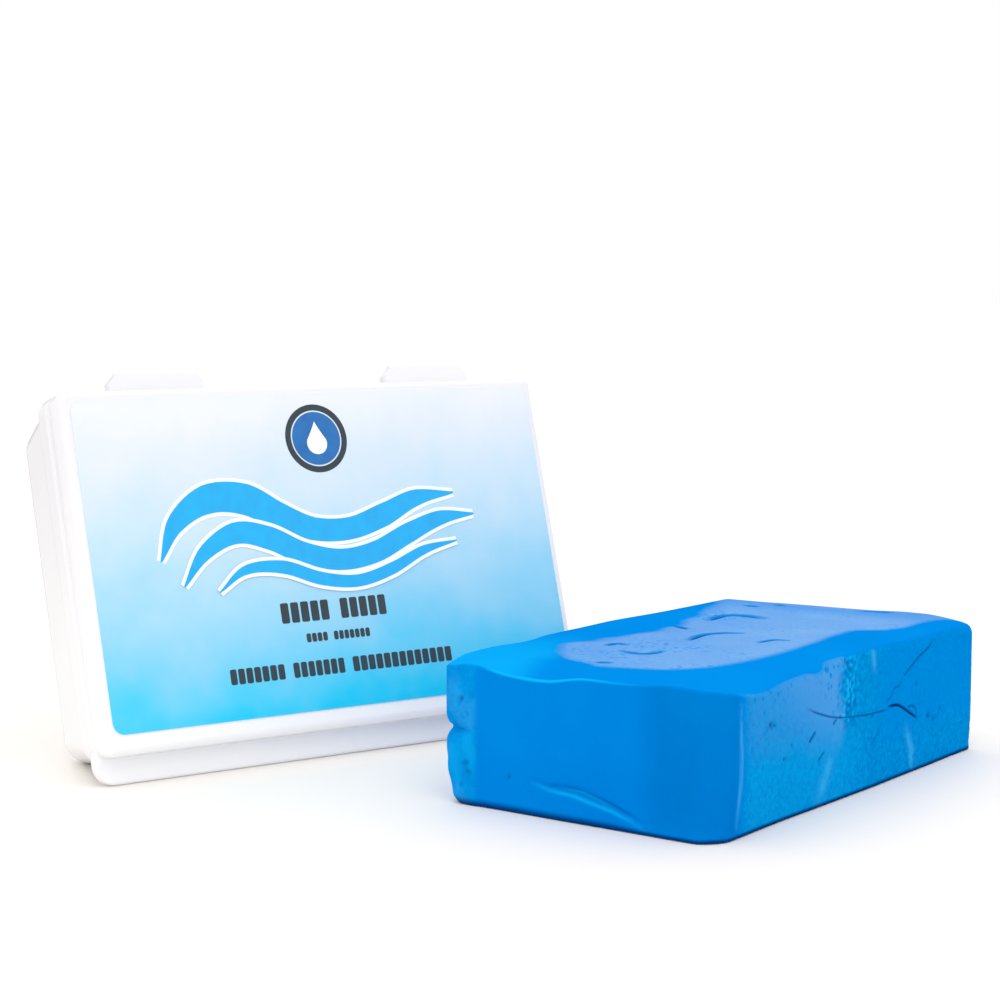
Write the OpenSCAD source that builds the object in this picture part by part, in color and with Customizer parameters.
// A block of detailing clay lying in front of its hinged storage case.
// The case is closed and leans back, standing on the lip of its lid and the back edge of its tray.
// X runs along the case, Z is up, and the origin is under the middle of the clay bar.

/* [Clay bar] */
// Length of the clay bar
bar_l = 96; // [80:1:96]
// Width of the clay bar
bar_w = 56; // [40:1:56]
// Height of the clay bar
bar_h = 26; // [15:0.5:26]
// Radius of the bar's pressed edges
bar_edge_r = 1; // [1:0.5:4]
// Angle between the bar's length and the case's width
bar_turn = 19.4; // [15:0.2:25]

/* [Case] */
// Width of the case at its rim
case_w = 106.6; // [106:0.2:114]
// Height of the case at its rim, without hinges and lip
case_h = 68.8; // [66:0.2:76]
// Depth of the closed case
case_d = 28.2; // [28:0.2:32]
// Depth of the lid
lid_d = 6; // [5.5:0.5:8]
// Thickness of the walls
wall = 1.1; // [1.1:0.1:1.4]
// Radius of the corners, seen from the front
corner_r = 4; // [3.5:0.5:6]
// Radius of the tray's back edges
back_r = 5; // [4:0.5:6]
// Radius of the edge round the lid's face
face_r = 1.5; // [1.5:0.1:2]
// Draft of the tray's end walls
end_draft = 10; // [4:1:10]
// Draft of the tray's lower long wall
long_draft = 4; // [2:1:6]
// Draft of the tray's long wall under the hinges
hinge_draft = 7; // [4:1:8]
// Draft of the lid's walls
lid_draft = 2; // [1:1:4]

/* [Rim] */
// How far the rim bands stand out from the walls
band_proud = 0.5; // [0.3:0.1:0.6]
// Depth of the band round the tray's rim
tray_band = 3; // [2.5:0.5:4]
// Depth of the band round the lid's rim
lid_band = 1.6; // [1.6:0.1:2]
// Height of the tongue that locates the lid
tongue_h = 0.9; // [0.6:0.1:1]
// Gap round the tongue
tongue_gap = 0.1; // [0.1:0.05:0.2]

/* [Hinges] */
// Distance between the middles of the two hinges
hinge_span = 60.6; // [50:0.2:70]
// Width of a hinge leaf at its foot
leaf_w = 19.5; // [14:0.5:22]
// Height of the hinge axis over the rim
leaf_h = 3.4; // [3:0.1:4]
// Thickness of a hinge leaf
leaf_t = 1.2; // [1:0.1:1.6]
// Radius of the flexible bead along the hinge
web_r = 0.5; // [0.4:0.05:0.6]

/* [Latch] */
// Width of the finger lip
lip_w = 106.6; // [60:0.2:106.6]
// Radius of the lip's nose
lip_r = 0.8; // [0.6:0.1:0.8]
// Width of the snap hook
hook_w = 24; // [12:1:40]
// Radius of the snap bead
bead_r = 0.7; // [0.5:0.1:0.7]

/* [Label] */
// Width of the label
label_w = 101.5; // [80:0.5:101.5]
// Height of the label
label_h = 61.8; // [40:0.2:61.8]
// Height of the label's lower edge over the lid's lower edge
label_foot = 4.3; // [3:0.1:4.5]
// Radius of the label's corners
label_r = 2.2; // [1:0.2:4]

/* [Stance] */
// Angle at which the closed case leans back
lean = 16.4; // [14.6:0.2:17]
// Place of the case's middle along X
case_x = -47.6; // [-60:0.2:-47]
// Place of the foot of the lid's face along Y
case_y = 50.3; // [50:0.1:60]

/* [Hidden] */

clay_blue = [0.02, 0.47, 0.87];
frosted = [0.90, 0.91, 0.94];
frosted_dark = [0.82, 0.84, 0.89];
label_blue = [0.62, 0.87, 0.98];

fine = 48;         // facets of a true round
soft = 32;         // facets of a blended corner
cut = 1;           // how far a cutting tool runs past what it cuts
root_t = 1;        // thickness of the straight section that a drafted wall starts from
label_t = 0.2;     // thickness of the label
leaf_gap = 0.1;    // the leaves end this far short of the hinge axis
web_gap = 0.06;    // running clearance of the tray's leaf round the bead
leaf_bevel = 1.6;  // bevel of a leaf's outer corners
tongue_t = 0.8;    // thickness of the tongue
lip_top = 2.4;     // how far the lip runs up beside the rim's lower corners
arm_t = 1;         // thickness of the hook's arm
arm_gap = 0.65;    // gap between the bead and the arm
barb_t = 0.9;      // thickness of the hook's barb
barb_gap = 0.3;    // gap between the bead and the barb
snap_gap = 0.15;   // the snap is drawn open by this much
bead_short = 2;    // how much shorter the bead is than the hook

rim_t = wall + band_proud;
tongue_inset = rim_t - tongue_t;
hinge_z = case_h + leaf_h;

// middles of the balls that round the tray's back edges
back_y = case_d - back_r;
back_x = case_w / 2 - (back_y - lid_d) * tan(end_draft) - back_r / cos(end_draft);
back_inset = (back_y - lid_d) * tan(long_draft) + back_r / cos(long_draft);
top_inset = (back_y - lid_d) * tan(hinge_draft) + back_r / cos(hinge_draft);

// middles of the balls that round the edge of the lid's face
face_inset = band_proud + (lid_d - face_r) * tan(lid_draft) + face_r / cos(lid_draft);

// lift that sets the tray's back edge on the floor, and the height of the lip's nose on it
lift = back_r + back_y * sin(lean) - back_inset * cos(lean);
nose_y = lid_d - lip_r;
nose_z = (lip_r - lift + nose_y * sin(lean)) / cos(lean);

// the hook's arm runs back under the tray's rim band, and its barb stands behind the bead
bead_y = lid_d + tray_band / 2;
arm_in = -bead_r - arm_gap;
barb_y = bead_y + bead_r + barb_gap;
barb_top = -bead_r - snap_gap;

// A ball whose facets reach its full radius along every axis
module ball(r) {
    sphere(r / cos(180 / soft), $fn = soft);
}

// Rounded rectangle, centred
module rounded_rect(w, h, r) {
    square([w - 2 * r, h], center = true);
    square([w, h - 2 * r], center = true);
    for (sx = [-1, 1], sy = [-1, 1])
        translate([sx * (w / 2 - r), sy * (h / 2 - r)])
            circle(r, $fn = fine);
}

// Extrudes a front view along Y, from y0 to y1
module from_front(y0, y1) {
    translate([0, y1, 0])
        rotate([90, 0, 0])
            linear_extrude(y1 - y0)
                children();
}

// Extrudes an end view along X, centred
module from_end(w) {
    translate([-w / 2, 0, 0])
        rotate([90, 0, 90])
            linear_extrude(w)
                children();
}

// The case's outline drawn in by inset, as a slab from y0 to y1
module slab(inset, y0, y1) {
    from_front(y0, y1)
        translate([0, case_h / 2])
            rounded_rect(case_w - 2 * inset, case_h - 2 * inset, corner_r - inset);
}

// Places a child at four corners, drawn in by low from the case's foot and by high from its top
module at_corners(x, y, low, high) {
    for (sx = [-1, 1], z = [low, case_h - high])
        translate([sx * x, y, z])
            children();
}

// Leans the case back and puts it on the floor behind the bar
module stand() {
    translate([case_x, case_y, lift])
        rotate([-lean, 0, 0])
            children();
}

// A hull from a slab of the outline, from y0 to y1, to balls of radius r on the tray's back edges
module tray_form(inset, y0, y1, r) {
    hull() {
        slab(inset, y0, y1);
        at_corners(back_x, back_y, back_inset, top_inset)
            ball(r);
    }
}

// The lid as a solid form, with the rounded edge of its face
module lid_form() {
    hull() {
        slab(band_proud, lid_d - root_t, lid_d);
        at_corners(case_w / 2 - face_inset, face_r, face_inset, face_inset)
            ball(face_r);
    }
}

// The hollow inside the lid, sharp where its wall meets its face
module lid_hollow() {
    hull() {
        slab(rim_t, lid_d, lid_d + cut);
        slab(rim_t + (lid_d - wall) * tan(lid_draft), wall, wall + root_t / 2);
    }
}

// The deep half of the case, with the tongue that enters the lid
module case_base() {
    color(frosted_dark)
        stand()
            difference() {
                union() {
                    tray_form(band_proud, lid_d, lid_d + root_t, back_r);
                    slab(0, lid_d, lid_d + tray_band);
                    slab(tongue_inset, lid_d - tongue_h, lid_d + root_t);
                }
                tray_form(rim_t, lid_d - tongue_h - cut, lid_d, back_r - wall);
            }
}

// The shallow half of the case, whose face carries the label
module case_lid() {
    color(frosted)
        stand()
            difference() {
                union() {
                    lid_form();
                    slab(0, lid_d - lid_band, lid_d);
                }
                lid_hollow();
                slab(tongue_inset - tongue_gap, lid_d - tongue_h - tongue_gap, lid_d + cut);
            }
}

// A hinge leaf from y0 to y1, standing on the rim, hollowed for the bead by groove_r
module leaf(y0, y1, groove_r) {
    top = hinge_z - leaf_gap;
    half = leaf_w / 2;
    difference() {
        from_front(y0, y1)
            polygon([[-half, case_h], [-half, top - leaf_bevel], [leaf_bevel - half, top],
                     [half - leaf_bevel, top], [half, top - leaf_bevel], [half, case_h]]);
        translate([-half - cut, lid_d, hinge_z])
            rotate([0, 90, 0])
                cylinder(r = groove_r, h = leaf_w + 2 * cut, $fn = fine);
    }
}

module base_leaf(side) {
    color(frosted_dark)
        stand()
            translate([side * hinge_span / 2, 0, 0])
                leaf(lid_d, lid_d + leaf_t, web_r + web_gap);
}

module lid_leaf(side) {
    color(frosted)
        stand()
            translate([side * hinge_span / 2, 0, 0])
                leaf(lid_d - leaf_t, lid_d, web_r);
}

// The flexible bead that joins two leaves, on the hinge axis
module web(side) {
    length = leaf_w - 2 * leaf_bevel;
    color("white")
        stand()
            translate([side * hinge_span / 2 - length / 2, lid_d, hinge_z])
                rotate([0, 90, 0])
                    cylinder(r = web_r, h = length, $fn = fine);
}

// The finger lip, which carries the lid's rim down to the floor, with the snap hook in its middle
module latch_lip() {
    foot = nose_z - lip_r;
    color(frosted)
        stand() {
            difference() {
                intersection() {
                    from_end(lip_w)
                        union() {
                            translate([lid_d - 2 * lip_r, nose_z])
                                square([2 * lip_r, lip_top - nose_z]);
                            translate([nose_y, nose_z])
                                circle(lip_r, $fn = fine);
                        }
                    from_front(lid_d - 2 * lip_r - cut, lid_d + cut)
                        rounded_rect(lip_w, -2 * foot, min(corner_r, -foot));
                }
                slab(0, lid_d - 2 * lip_r - cut, lid_d + cut);
            }
            from_end(hook_w)
                polygon([[lid_d, arm_in - arm_t], [lid_d, arm_in], [barb_y, arm_in],
                         [barb_y, barb_top], [barb_y + barb_t, arm_in],
                         [barb_y + barb_t, arm_in - arm_t]]);
        }
}

// The half-round bead under the tray's rim that the hook snaps over
module latch_bead() {
    length = hook_w - bead_short;
    color(frosted_dark)
        stand()
            difference() {
                translate([-length / 2, bead_y, 0])
                    rotate([0, 90, 0])
                        cylinder(r = bead_r, h = length, $fn = fine);
                translate([-length / 2 - cut, bead_y - bead_r - cut, 0])
                    cube([length + 2 * cut, 2 * (bead_r + cut), bead_r + cut]);
            }
}

// The printed label on the lid's face
module label() {
    color(label_blue)
        stand()
            from_front(-label_t, 0)
                translate([0, label_foot + label_h / 2])
                    rounded_rect(label_w, label_h, label_r);
}

// The clay, a pressed block with soft edges: its plan, its end view and its front view intersected
module clay_bar() {
    color(clay_blue)
        rotate([0, 0, bar_turn])
            intersection() {
                linear_extrude(bar_h)
                    rounded_rect(bar_l, bar_w, bar_edge_r);
                from_end(bar_l)
                    translate([0, bar_h / 2])
                        rounded_rect(bar_w, bar_h, bar_edge_r);
                from_front(-bar_w / 2, bar_w / 2)
                    translate([0, bar_h / 2])
                        rounded_rect(bar_l, bar_h, bar_edge_r);
            }
}

clay_bar();
case_base();
case_lid();
base_leaf(-1);  // hinge_left_base_leaf
lid_leaf(-1);  // hinge_left_lid_leaf
web(-1);  // hinge_left_web
base_leaf(1);  // hinge_right_base_leaf
lid_leaf(1);  // hinge_right_lid_leaf
web(1);  // hinge_right_web
latch_lip();
latch_bead();
label();
